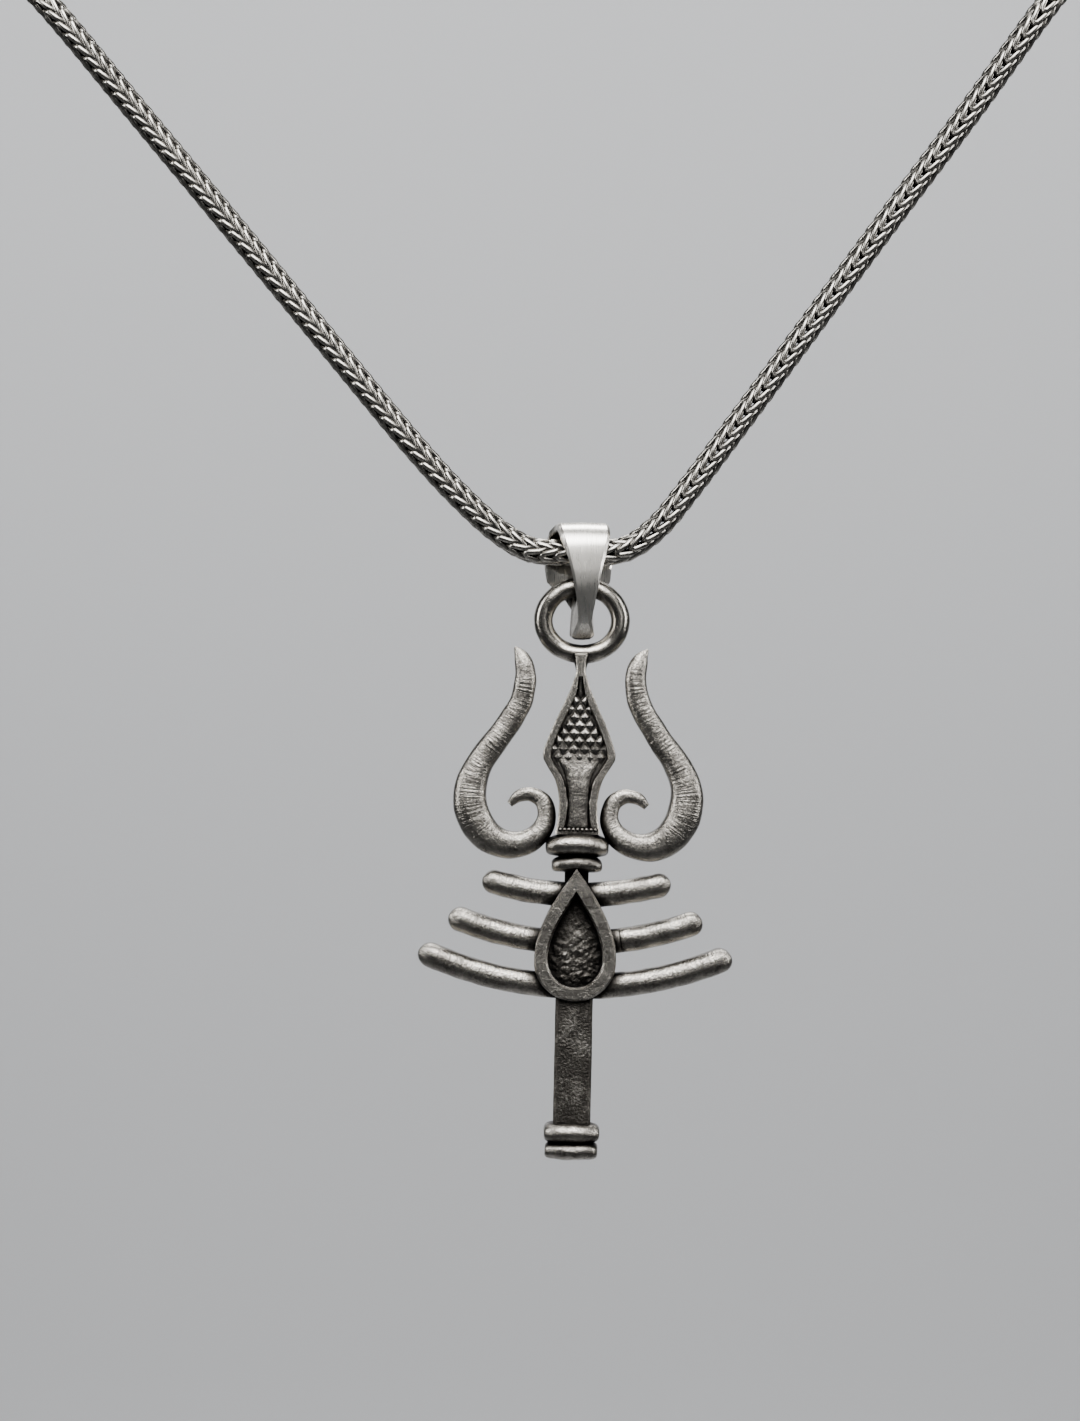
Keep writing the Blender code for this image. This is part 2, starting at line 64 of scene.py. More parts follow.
def addNode(tree, kind, settings=None, links=None):
    node = tree.nodes.new(kind)
    for name, value in (settings or {}).items():
        setattr(node, name, value)
    for socket, value in (links or {}).items():
        if isinstance(value, bpy.types.NodeSocket):
            tree.links.new(value, node.inputs[socket])
        else:
            node.inputs[socket].default_value = value
    return node


def lerpTable(table, share):
    for (s0, w0), (s1, w1) in zip(table, table[1:]):
        if share <= s1:
            return w0 + (w1 - w0) * (share - s0) / (s1 - s0)
    return table[-1][1]


def smoothRoute(points, steps):
    # centripetal Catmull-Rom curve, the one that the part's source uses
    padded = [points[0] * 2 - points[1]] + points + [points[-1] * 2 - points[-2]]
    route = []
    for i in range(1, len(padded) - 2):
        p0, p1, p2, p3 = padded[i - 1:i + 3]
        t1 = math.sqrt((p1 - p0).length)
        t2 = t1 + math.sqrt((p2 - p1).length)
        t3 = t2 + math.sqrt((p3 - p2).length)
        for step in range(steps):
            t = t1 + (t2 - t1) * step / steps
            a1, a2 = p0.lerp(p1, t / t1), p1.lerp(p2, (t - t1) / (t2 - t1))
            a3 = p2.lerp(p3, (t - t2) / (t3 - t2))
            b1, b2 = a1.lerp(a2, t / t2), a2.lerp(a3, (t - t1) / (t3 - t1))
            route.append(b1.lerp(b2, (t - t1) / (t2 - t1)))
    return route + [points[-1].copy()]


def signedPower(value, power):
    return math.copysign(abs(value) ** power, value)


def addLoop(bm, places):
    # a closed loop of edges: a circle whose points move to their places
    made = bmesh.ops.create_circle(bm, segments=len(places), radius=mm)["verts"]
    for vert, place in zip(made, places):
        vert.co = place
    return made


def loopEdges(bm, loop):
    return [bm.edges.get(pair) for pair in zip(loop, loop[1:] + loop[:1])]


def bridgeAll(bm, loops, closed=False, capLast=True):
    for first, second in zip(loops, loops[1:] + (loops[:1] if closed else [])):
        bmesh.ops.bridge_loops(bm, edges=loopEdges(bm, first) + loopEdges(bm, second))
    if not closed:
        bmesh.ops.contextual_create(bm, geom=loopEdges(bm, loops[0]))
    if not closed and capLast:
        bmesh.ops.contextual_create(bm, geom=loopEdges(bm, loops[-1]))


def stepPlate(bm, loops, capLast=True):
    # the same for outlines with a narrow point, where bridging would cross the point over
    for first, second in zip(loops, loops[1:]):
        for k in range(len(first)):
            bm.faces.new((first[k - 1], first[k], second[k], second[k - 1]))
    bmesh.ops.contextual_create(bm, geom=loopEdges(bm, loops[0]))
    if capLast:
        bmesh.ops.contextual_create(bm, geom=loopEdges(bm, loops[-1]))


def sectionLoop(bm, place, across, halfWidth, front, back, segments=20, frontPower=2.0, backPower=6.0):
    # one section of a cast bar: rounded in front, flatter behind
    places = []
    for k in range(segments):
        angle = 2 * math.pi * (k + 0.5) / segments
        power = frontPower if math.sin(angle) > 0 else backPower
        u = signedPower(math.cos(angle), 2 / power) * halfWidth
        v = signedPower(math.sin(angle), 2 / power)
        places.append(place + across * u + Vector((0, -v * front if v > 0 else -v * back, 0)))
    return addLoop(bm, places)


def markSweep(bm, segments, spacing):
    # how far along the bar each point is, in millimetres, for marks that run across it
    layer = bm.verts.layers.float_vector.new("sweep")
    bm.verts.index_update()
    for vert in bm.verts:
        turn = 2 * math.pi * (vert.index % segments) / segments
        vert[layer] = Vector((vert.index // segments * spacing + 5.0, math.cos(turn), math.sin(turn)))


def roughen(bm, amount, size, seed=0.0):
    # a hand-finished casting is never quite even
    bm.normal_update()
    for vert in bm.verts:
        wave = noise.noise(vert.co / size + Vector((seed, seed, seed)))
        vert.co += vert.normal * wave * amount


def addPiece(name, bm, place, body, node, material, sharp=40):
    bmesh.ops.remove_doubles(bm, verts=bm.verts, dist=0.000002)
    bmesh.ops.recalc_face_normals(bm, faces=bm.faces)
    bmesh.ops.transform(bm, matrix=place, verts=bm.verts)
    mesh = bpy.data.meshes.new(name)
    bm.to_mesh(mesh)
    bm.free()
    mesh.materials.append(material)
    mesh.shade_smooth()
    mesh.set_sharp_from_angle(angle=math.radians(sharp))
    piece = bpy.data.objects.new(name, mesh)
    bpy.context.scene.collection.objects.link(piece)
    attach(piece, body)
    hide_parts(node)
    return piece


def addCastPiece(name, bm, material, sharp=40):
    return addPiece(name, bm, pendantPlace, "pendant", "trident", material, sharp)


# Finishes

castFinish = {
    "worn": "#c0bbb2", "dull": "#45423e", "dark": "#0f0e0d",
    "recess": 1.1 * mm,  # how far a wall darkens what is beside it
}


def makeCastSilver(name, bright=1.0, recess=castFinish["recess"], files=0.4, sand=0.08, tarnish=0.0):
    # oxidised cast sterling silver: sand-fine grain from the mould, file marks across the worn
    # faces, and dark sulphide left wherever a polishing cloth doesn't reach
    material = bpy.data.materials.new(name)
    material.use_nodes = True
    tree = material.node_tree
    shader = tree.nodes["Principled BSDF"]
    place = addNode(tree, "ShaderNodeTexCoord").outputs["Object"]
    grain = addNode(tree, "ShaderNodeTexNoise", links={"Vector": place, "Scale": 3800.0, "Detail": 4.0,
                                                       "Roughness": 0.65}).outputs["Fac"]
    cloud = addNode(tree, "ShaderNodeTexNoise", links={"Vector": place, "Scale": 700.0,
                                                       "Detail": 5.0}).outputs["Fac"]
    sweep = addNode(tree, "ShaderNodeAttribute", {"attribute_name": "sweep"}).outputs["Vector"]
    stretch = addNode(tree, "ShaderNodeMapping", links={"Vector": sweep,
                                                        "Scale": (4.2, 0.5, 0.5)}).outputs["Vector"]
    marks = addNode(tree, "ShaderNodeTexNoise", links={"Vector": stretch, "Scale": 1.0,
                                                       "Detail": 3.0}).outputs["Fac"]
    pits = addNode(tree, "ShaderNodeTexVoronoi", links={"Vector": place,
                                                        "Scale": 2600.0}).outputs["Distance"]
    exposed = addNode(tree, "ShaderNodeAmbientOcclusion", {"samples": 8},
                    {"Distance": recess}).outputs["AO"]
    # the open, rubbed surface is bright, and the shut-in one dark
    patchy = addNode(tree, "ShaderNodeMath", {"operation": "MULTIPLY_ADD"},
                     {0: cloud, 1: 0.34, 2: exposed}).outputs[0]
    speck = addNode(tree, "ShaderNodeMath", {"operation": "MULTIPLY_ADD"},
                    {0: grain, 1: 0.30, 2: patchy}).outputs[0]
    worn = addNode(tree, "ShaderNodeMapRange", links={"Value": speck, "From Min": 0.80 + tarnish,
                                                      "From Max": 1.42 + tarnish}).outputs["Result"]
    ramp = addNode(tree, "ShaderNodeValToRGB", links={"Fac": worn})
    ramp.color_ramp.elements[0].color = linearColour(castFinish["dark"])
    ramp.color_ramp.elements[1].color = linearColour(castFinish["worn"])
    middle = ramp.color_ramp.elements.new(0.52)
    middle.color = linearColour(castFinish["dull"])
    tree.links.new(ramp.outputs["Color"], shader.inputs["Base Color"])
    shine = addNode(tree, "ShaderNodeMapRange", links={"Value": worn, "To Min": 0.38,
                                                       "To Max": 0.17 / bright}).outputs["Result"]
    uneven = addNode(tree, "ShaderNodeMath", {"operation": "MULTIPLY_ADD"},
                     {0: grain, 1: 0.08, 2: shine}).outputs[0]
    tree.links.new(uneven, shader.inputs["Roughness"])
    shader.inputs["Metallic"].default_value = 1.0
    pitDepth = addNode(tree, "ShaderNodeMapRange", links={"Value": pits, "From Min": 0.0,
                                                          "From Max": 0.22}).outputs["Result"]
    bumps = addNode(tree, "ShaderNodeBump", links={"Height": grain, "Strength": 0.75,
                                                   "Distance": sand * mm})
    filed = addNode(tree, "ShaderNodeBump", links={"Height": marks, "Strength": files,
                                                   "Distance": 0.16 * mm, "Normal": bumps.outputs[0]})
    pitted = addNode(tree, "ShaderNodeBump", links={"Height": pitDepth, "Strength": 0.25,
                                                    "Distance": 0.05 * mm, "Normal": filed.outputs[0]})
    tree.links.new(pitted.outputs[0], shader.inputs["Normal"])
    return material


def makeBailSilver():
    # rolled and polished sterling strip: a smooth mirror-like face with fine scratches down
    # its length, which drag each highlight out, and a brown-black tarnish towards its edges
    material = bpy.data.materials.new("polishedSilverStrip")
    material.use_nodes = True
    tree = material.node_tree
    shader = tree.nodes["Principled BSDF"]
    place = addNode(tree, "ShaderNodeTexCoord").outputs["Object"]
    stretch = addNode(tree, "ShaderNodeMapping", links={"Vector": place,
                                                        "Scale": (9000.0, 1500.0, 600.0)}).outputs["Vector"]
    scratch = addNode(tree, "ShaderNodeTexNoise", links={"Vector": stretch, "Scale": 1.0,
                                                         "Detail": 3.0}).outputs["Fac"]
    cloud = addNode(tree, "ShaderNodeTexNoise", links={"Vector": place, "Scale": 900.0,
                                                       "Detail": 5.0}).outputs["Fac"]
    exposed = addNode(tree, "ShaderNodeAmbientOcclusion", {"samples": 8},
                    {"Distance": 1.2 * mm}).outputs["AO"]
    mixed = addNode(tree, "ShaderNodeMath", {"operation": "MULTIPLY_ADD"},
                    {0: cloud, 1: 0.3, 2: exposed}).outputs[0]
    worn = addNode(tree, "ShaderNodeMapRange", links={"Value": mixed, "From Min": 0.55,
                                                      "From Max": 1.12}).outputs["Result"]
    ramp = addNode(tree, "ShaderNodeValToRGB", links={"Fac": worn})
    ramp.color_ramp.elements[0].color = linearColour("#2a2622")
    ramp.color_ramp.elements[1].color = linearColour("#ece8e0")
    tree.links.new(ramp.outputs["Color"], shader.inputs["Base Color"])
    rough = addNode(tree, "ShaderNodeMapRange", links={"Value": scratch, "To Min": 0.20,
                                                       "To Max": 0.38}).outputs["Result"]
    tree.links.new(rough, shader.inputs["Roughness"])
    shader.inputs["Metallic"].default_value = 1.0
    bump = addNode(tree, "ShaderNodeBump", links={"Height": scratch, "Strength": 0.35,
                                                  "Distance": 0.03 * mm})
    tree.links.new(bump.outputs[0], shader.inputs["Normal"])
    return material


def makeChainSilver():
    # oxidised silver wire, woven then tumbled: bright where the links stand proud, near black
    # down between them, which is what makes the braid readable
    material = bpy.data.materials.new("oxidisedSilverWire")
    material.use_nodes = True
    tree = material.node_tree
    shader = tree.nodes["Principled BSDF"]
    place = addNode(tree, "ShaderNodeTexCoord").outputs["Object"]
    proud = addNode(tree, "ShaderNodeAttribute", {"attribute_name": "proud"}).outputs["Fac"]
    cloud = addNode(tree, "ShaderNodeTexNoise", links={"Vector": place, "Scale": 1400.0,
                                                       "Detail": 4.0}).outputs["Fac"]
    mixed = addNode(tree, "ShaderNodeMath", {"operation": "MULTIPLY_ADD"},
                    {0: cloud, 1: 0.25, 2: proud}).outputs[0]
    worn = addNode(tree, "ShaderNodeMapRange", links={"Value": mixed, "From Min": 0.70,
                                                      "From Max": 1.07}).outputs["Result"]
    ramp = addNode(tree, "ShaderNodeValToRGB", links={"Fac": worn})
    ramp.color_ramp.elements[0].color = linearColour("#141312")
    ramp.color_ramp.elements[1].color = linearColour("#bfbbb3")
    middle = ramp.color_ramp.elements.new(0.45)
    middle.color = linearColour("#6f6c68")
    tree.links.new(ramp.outputs["Color"], shader.inputs["Base Color"])
    rough = addNode(tree, "ShaderNodeMapRange", links={"Value": cloud, "To Min": 0.18,
                                                       "To Max": 0.34}).outputs["Result"]
    tree.links.new(rough, shader.inputs["Roughness"])
    shader.inputs["Metallic"].default_value = 1.0
    grain = addNode(tree, "ShaderNodeTexNoise", links={"Vector": place, "Scale": 9000.0,
                                                       "Detail": 2.0}).outputs["Fac"]
    bump = addNode(tree, "ShaderNodeBump", links={"Height": grain, "Strength": 0.25,
                                                  "Distance": 0.02 * mm})
    tree.links.new(bump.outputs[0], shader.inputs["Normal"])
    return material


castSilver = makeCastSilver("oxidisedCastSilver", tarnish=0.05)
sunkSilver = makeCastSilver("sunkCastSilver", bright=0.9, recess=1.6 * mm, files=0.1, sand=0.12,
                           tarnish=0.16)
scaleSilver = makeCastSilver("punchedCastSilver", bright=1.2, recess=0.35 * mm, files=0.0, sand=0.03)
leafSilver = makeCastSilver("filedCastSilver", recess=0.45 * mm, files=0.0, sand=0.06)
shaftSilver = makeCastSilver("granularCastSilver", bright=0.85, recess=1.4 * mm, files=0.0, sand=0.13,
                             tarnish=0.2)
ringSilver = makeCastSilver("solderedRingSilver", bright=1.25, files=0.1, sand=0.03)
bailSilver = makeBailSilver()
chainSilver = makeChainSilver()
print("finishes made")


# Camera, floor and light

def makeStage():
    camera = bpy.data.cameras.new("camera")
    camera.lens, camera.sensor_width = 100.0, 36.0
    camera.clip_start, camera.clip_end = 0.01, 20.0
    eye = bpy.data.objects.new("camera", camera)
    eye.location = Vector((-3.82, -476.9, -138.96)) * mm
    eye.rotation_euler = (math.radians(90), 0, 0)
    bpy.context.scene.collection.objects.link(eye)
    bpy.context.scene.camera = eye

    # the floor runs back and sweeps up into a pale wall, in metres
    half, near, level, bend, radius, wallTop, bendSteps = 3.0, -3.0, -0.95, 0.9, 0.5, 1.6, 12
    bm = bmesh.new()
    line = [bm.verts.new((-half, y, level)) for y in (near, bend)]
    for k in range(1, bendSteps + 1):
        angle = math.pi / 2 * k / bendSteps
        line.append(bm.verts.new((-half, bend + radius * math.sin(angle),
                                  level + radius - radius * math.cos(angle))))
    line.append(bm.verts.new((-half, bend + radius, wallTop)))
    edges = [bm.edges.new(pair) for pair in zip(line, line[1:])]
    wide = bmesh.ops.extrude_edge_only(bm, edges=edges)["geom"]
    bmesh.ops.translate(bm, verts=[v for v in wide if isinstance(v, bmesh.types.BMVert)],
                        vec=(2 * half, 0, 0))
    mesh = bpy.data.meshes.new("paleFloor")
    bm.to_mesh(mesh)
    bm.free()
    mesh.shade_smooth()
    paper = bpy.data.materials.new("palePaper")
    paper.use_nodes = True
    shader = paper.node_tree.nodes["Principled BSDF"]
    shader.inputs["Base Color"].default_value = linearColour("#cfd0d2")
    shader.inputs["Roughness"].default_value = 0.9
    mesh.materials.append(paper)
    floor = bpy.data.objects.new("paleFloor", mesh)
    bpy.context.scene.collection.objects.link(floor)

    world = bpy.data.worlds.new("dimStudio")
    world.use_nodes = True
    background = world.node_tree.nodes["Background"]
    background.inputs["Color"].default_value = (0.9, 0.95, 1.0, 1.0)
    background.inputs["Strength"].default_value = 0.04
    bpy.context.scene.world = world


def addSoftbox(name, place, aim, width, height, power, spread):
    light = bpy.data.lights.new(name, "AREA")
    light.shape, light.size, light.size_y, light.energy = "RECTANGLE", width, height, power
    light.spread = math.radians(spread)  # a narrow beam keeps off the floor in front
    box = bpy.data.objects.new(name, light)
    box.location = place
    box.rotation_euler = (Vector(aim) - Vector(place)).to_track_quat("-Z", "Y").to_euler()
    bpy.context.scene.collection.objects.link(box)


middle = (0.0, -0.118, -0.14)
softboxes = {
    # place, aim, width and height in metres, power in watts and spread in degrees
    "topSoftbox": ((0.0, -0.48, 0.28), middle, 0.80, 0.58, 3.2, 62),
    "backSoftbox": ((0.0, 0.14, 0.38), middle, 0.60, 0.22, 0.8, 60),
    "leftStrip": ((-0.60, -0.30, 0.05), middle, 0.12, 0.6, 0.55, 70),
    "rightStrip": ((0.60, -0.30, 0.05), middle, 0.12, 0.6, 0.55, 70),
    # a small card that only the turned, polished bail mirrors
    "bailCard": ((0.36, -1.27, -0.02), (0.0, -0.12, -0.13), 0.14, 0.30, 0.035, 60),
    "frontFill": ((0.0, -1.2, -0.05), middle, 0.5, 0.5, 0.10, 180),
    "wallLight": ((0.0, 0.45, 0.9), (0.0, 1.4, 0.0), 2.0, 0.5, 15.0, 110),
}

makeStage()
for boxName, settings in softboxes.items():
    addSoftbox(boxName, *settings)
print("camera, floor and lights made")


# Soldered ring

ring = {"width": 8.75, "height": 7.85, "wire": 1.73, "turns": 72, "sides": 18,
        "neckTop": 3.06, "neckFoot": 5.1, "neckRadius": 0.42, "wander": 0.05}


def makeSolderedRing():
    bm = bmesh.new()
    spine = (ring["width"] - ring["wire"]) / 2 * mm
    pressed = (ring["height"] - ring["width"]) / 2 * mm
    wire = ring["wire"] / 2 * mm
    loops = []
    for turn in range(ring["turns"]):
        angle = 2 * math.pi * turn / ring["turns"]
        out = Vector((math.sin(angle), 0, -math.cos(angle)))
        place = out * spine + Vector((0, 0, out.z * pressed))
        places = [place + out * wire * math.cos(a) + Vector((0, wire * math.sin(a), 0))
                  for a in [2 * math.pi * k / ring["sides"] for k in range(ring["sides"])]]
        loops.append(addLoop(bm, places))
    bridgeAll(bm, loops, closed=True)
    roughen(bm, ring["wander"] * mm, 1.1 * mm, 3.0)
    # the neck flares into the ring above and the spear's point below
    necks = []
    for step in range(9):
        share = step / 8
        drop = (ring["neckTop"] + (ring["neckFoot"] - ring["neckTop"]) * share) * mm
        radius = (ring["neckRadius"] + 0.75 * (1 - share) ** 2.2) * mm
        necks.append(sectionLoop(bm, Vector((0, 0, -drop)), Vector((1, 0, 0)), radius, radius, radius, 16,
                                 2.0, 2.0))
    bridgeAll(bm, necks)
    addCastPiece("solderedRing", bm, ringSilver)


makeSolderedRing()


# Prongs

prong = {
    "length": 18.05, "reach": 9.85, "width": 3.12, "depth": 0.82, "tip": 2.5, "steps": 6,
    # shares of the reach, of the length and of the width, from the tip round the scroll
    "points": [
        (0.614, 0.000, 0.09), (0.548, 0.055, 0.46), (0.508, 0.144, 0.62), (0.538, 0.260, 0.67),
        (0.629, 0.360, 0.70), (0.761, 0.468, 0.73), (0.898, 0.571, 0.79), (0.985, 0.680, 0.90),
        (1.000, 0.781, 0.99), (0.949, 0.875, 1.00), (0.832, 0.956, 0.94), (0.670, 0.997, 0.84),
        (0.482, 0.986, 0.74), (0.345, 0.931, 0.64), (0.289, 0.853, 0.54), (0.325, 0.776, 0.49),
        (0.437, 0.742, 0.43), (0.548, 0.753, 0.37), (0.634, 0.795, 0.21),
    ],
}


def makeProng(side):
    points = [Vector((across * prong["reach"] * side, width * prong["width"] / 2,
                      -prong["tip"] - down * prong["length"])) * mm
              for across, down, width in prong["points"]]
    route = smoothRoute(points, prong["steps"])
    bm = bmesh.new()
    loops = []
    for k, place in enumerate(route):
        ahead = route[min(k + 1, len(route) - 1)] - route[max(k - 1, 0)]
        ahead.y = 0.0
        across = Vector((ahead.z, 0, -ahead.x)).normalized()
        radius = max(place.y, 0.05 * mm)
        deep = radius * prong["depth"]
        loops.append(sectionLoop(bm, Vector((place.x, 0, place.z)), across, radius, deep,
                                 min(deep, castingBack), 24, 2.6, 3.0))
    bridgeAll(bm, loops)
    markSweep(bm, 24, 0.42)
    roughen(bm, 0.07 * mm, 1.6 * mm, 11.0 * side)
    addCastPiece("prongRight" if side > 0 else "prongLeft", bm, castSilver, 60)


makeProng(1)
makeProng(-1)


# Spear

spear = {
    "length": 14.7, "width": 6.75, "front": 1.2, "rim": 0.75, "recess": 0.32, "chamfer": 0.14,
    # shares of the length, each with its share of the width
    "outline": [
        (-0.13, 0.17), (-0.06, 0.125), (0.00, 0.12), (0.11, 0.28), (0.21, 0.475), (0.31, 0.68),
        (0.40, 0.84), (0.48, 0.96), (0.525, 1.0), (0.59, 0.84), (0.655, 0.65), (0.73, 0.555),
        (0.80, 0.515), (0.895, 0.527), (1.00, 0.61),
    ],
    "fieldTop": 0.03, "fieldFoot": 0.965, "ribTop": 0.50, "ribFront": 0.27,
    # shares of the way down the panel, each with half its width in millimetres
    "rib": [(0.0, 2.1), (0.08, 2.0), (0.2, 1.45), (0.32, 1.1), (0.5, 0.98), (0.8, 0.98), (1.0, 1.1)],
    "scaleTop": 6.6, "scaleFoot": 12.6, "scaleRow": 0.727, "scaleWidth": 0.98, "scaleHeight": 1.36,
    "scaleRise": 0.26, "wornBelow": 11.2,
    "grainTop": 5.25, "grainStep": 0.2, "dotDrop": 18.98, "dotStep": 0.40, "dotRadius": 0.17,
}


def spearLoop(bm, inset, y, top, foot, steps=34):
    right = []
    for step in range(steps + 1):
        share = top + (foot - top) * step / steps
        full = lerpTable(spear["outline"], share) * spear["width"] / 2
        half = max(full - min(inset, full * 0.62), 0.06)
        right.append(Vector((half * mm, y, -(hang["spearTop"] + share * spear["length"]) * mm)))
    left = [Vector((-place.x, place.y, place.z)) for place in reversed(right)]
    return addLoop(bm, right + left)


def makeSpear():
    front = spear["front"] * mm
    cut = spear["chamfer"]
    top, foot = spear["fieldTop"], spear["fieldFoot"]
    bm = bmesh.new()
    loops = [
        spearLoop(bm, 0.0, castingBack, -0.12, 1.0),
        spearLoop(bm, 0.0, -front + cut * mm, -0.12, 1.0),
        spearLoop(bm, cut, -front, -0.11, 1.0),
        spearLoop(bm, spear["rim"] - cut * 0.7, -front, top - 0.01, foot + 0.01),
        spearLoop(bm, spear["rim"], -front + cut * 0.7 * mm, top, foot),
        spearLoop(bm, spear["rim"] + 0.06, -front + spear["recess"] * mm, top + 0.01, foot - 0.005),
    ]
    stepPlate(bm, loops)
    roughen(bm, 0.03 * mm, 0.8 * mm, 8.0)
    addCastPiece("spear", bm, leafSilver, 30)

    # the sunk field has rows of small raised lozenges, and a line of grains down its narrow top
    floorY = -front + spear["recess"] * mm
    bm = bmesh.new()
    row = 0
    drop = spear["scaleTop"]
    while drop < spear["scaleFoot"]:
        share = (drop - hang["spearTop"]) / spear["length"]
        half = lerpTable(spear["outline"], share) * spear["width"] / 2 - spear["rim"]
        across = -3.0 * spear["scaleWidth"] + (row % 2) * spear["scaleWidth"] / 2
        while across < 3.2 * spear["scaleWidth"]:
            if abs(across) < half + 0.15:
                worn = random.uniform(0.8, 1.05) * (1.0 if drop < spear["wornBelow"] else 0.75)
                size = Matrix.Diagonal((spear["scaleWidth"] * 0.48 * mm, spear["scaleHeight"] * 0.48 * mm,
                                        spear["scaleRise"] * worn * mm, 1.0))
                turn = Matrix.Rotation(math.pi / 2, 4, "X")
                place = Matrix.Translation((across * mm, floorY - spear["scaleRise"] * worn * mm / 2,
                                            -drop * mm))
                bmesh.ops.create_cone(bm, segments=4, radius1=1.0, radius2=0.20, depth=1.0, cap_ends=True,
                                      matrix=place @ turn @ size)
            across += spear["scaleWidth"]
        drop += spear["scaleRow"]
        row += 1
    for k in range(7):
        place = Matrix.Translation((0, floorY - 0.18 * mm,
                                    -(spear["grainTop"] + spear["grainStep"] * k) * mm))
        bmesh.ops.create_icosphere(bm, subdivisions=1, radius=(0.10 + 0.012 * k) * mm, matrix=place)
    addCastPiece("spearScales", bm, scaleSilver, 20)

    # a worn panel fills the field below the scales and narrows to a rib between two grooves
    bm = bmesh.new()
    loops = []
    for step in range(25):
        share = step / 24
        down = hang["spearTop"] + (spear["ribTop"] + (1.0 - spear["ribTop"]) * share) * spear["length"]
        grow = min(1.0, 0.1 + 2.4 * share)
        loops.append(sectionLoop(bm, Vector((0, floorY, -down * mm)), Vector((1, 0, 0)),
                                 lerpTable(spear["rib"], share) * mm, spear["ribFront"] * grow * mm,
                                 0.1 * mm, 20, 3.2))
    bridgeAll(bm, loops)
    roughen(bm, 0.06 * mm, 0.7 * mm, 2.0)
    # a row of punched dots closes the foot of the field
    for k in range(-4, 5):
        place = Matrix.Translation((k * spear["dotStep"] * mm, -front - 0.02 * mm, -spear["dotDrop"] * mm))
        bmesh.ops.create_icosphere(bm, subdivisions=2, radius=spear["dotRadius"] * mm, matrix=place)
    addCastPiece("spearRib", bm, castSilver, 50)


makeSpear()


# Collar and foot beads

beads = {
    # top, height, width and front, then how round its ends are, how far it arches and how flat it is
    "collarBead": (19.25, 2.25, 5.75, 2.05, 0.50, 0.22, 2.2),
    "necklet": (21.20, 1.72, 4.60, 1.65, 0.50, 0.22, 2.4),
    "footBead": (45.42, 2.25, 5.05, 1.90, 0.46, 0.0, 2.2),
    "toeBead": (47.25, 1.81, 4.80, 1.70, 0.36, 0.0, 2.5),
}


def makeBead(name):
    top, height, width, front, square, arched, flat = beads[name]
    bm = bmesh.new()
    loops = []
    steps = 32
    for step in range(steps + 1):
        angle = math.pi * step / steps
        along = -math.cos(angle)
        swell = max(math.sin(angle), 0.02) ** square
        arch = arched * along * along
        place = Vector((along * width / 2 * mm, 0, -(top + height / 2 + arch) * mm))
        loops.append(sectionLoop(bm, place, Vector((0, 0, 1)), height / 2 * mm * swell,
                                 front * mm * (0.4 + 0.6 * swell * swell), castingBack, 24, flat, 5.0))
    bridgeAll(bm, loops)
    roughen(bm, 0.08 * mm, 0.9 * mm, top)
    addCastPiece(name, bm, castSilver, 60)


for beadName in beads:
    makeBead(beadName)


# Cross bars

bars = {
    "width": 2.25, "front": 1.0, "seam": 4.1, "seamHalf": 0.06, "seamFront": 0.88,
    # reach, bow and the drop below the teardrop's point
    "topBar": (7.45, 1.0, 2.225), "middleBar": (10.45, 1.9, 6.575), "lowBar": (13.14, 2.62, 10.575),
    # each sinks below the teardrop's floor between these places, hidden by its rim
    "topBarSink": (0.7, 1.4), "middleBarSink": (2.4, 3.2), "lowBarSink": (2.0, 2.7),
}


def makeBar(name):
    reach, bow, below = bars[name]
    radius = (reach * reach + bow * bow) / (2 * bow)
    swing = math.asin(reach / radius)
    drop = hang["dropTop"] + below
    half = bars["width"] / 2
    reachEnd = swing + half / radius
    bm = bmesh.new()
    loops = []
    places = [-reachEnd + (half / radius) * (1 - math.cos(math.pi / 2 * k / 8)) for k in range(8)]
    places += [-swing + 2 * swing * k / 44 for k in range(45)]
    places += [-angle for angle in reversed(places[:8])]
    seam = math.asin(bars["seam"] / radius)
    if name == "middleBar":
        places = sorted(places + [seam - bars["seamHalf"] / radius, seam, seam + bars["seamHalf"] / radius])
    near, far = bars[name + "Sink"]
    for angle in places:
        past = max(abs(angle) - swing, 0.0) * radius / half
        roundness = math.sqrt(max(1.0 - past * past, 0.0016))
        out = Vector((math.sin(angle), 0, -math.cos(angle)))
        place = Vector((0, 0, -(drop - radius))) * mm + out * radius * mm
        sunk = 0.5 + 0.5 * min(1.0, max(0.0, (abs(place.x) / mm - near) / (far - near)))
        if name == "middleBar" and angle == seam:
            sunk *= bars["seamFront"]
        deep = bars["front"] * (0.45 + 0.55 * roundness) * sunk * mm
        loops.append(sectionLoop(bm, place, out, half * roundness * mm, deep, castingBack, 24, 2.2, 8.0))
    bridgeAll(bm, loops)
    markSweep(bm, 24, 0.5)
    roughen(bm, 0.07 * mm, 1.4 * mm, reach)
    addCastPiece(name, bm, castSilver, 45)


for barName in ("topBar", "middleBar", "lowBar"):
    makeBar(barName)


# Teardrop frame, stem and shaft

teardrop = {"length": 11.8, "width": 7.45, "rim": 1.23, "front": 1.85, "sink": 1.15, "widest": 0.70,
            "apexRim": 2.09, "chamfer": 0.18, "steps": 26}


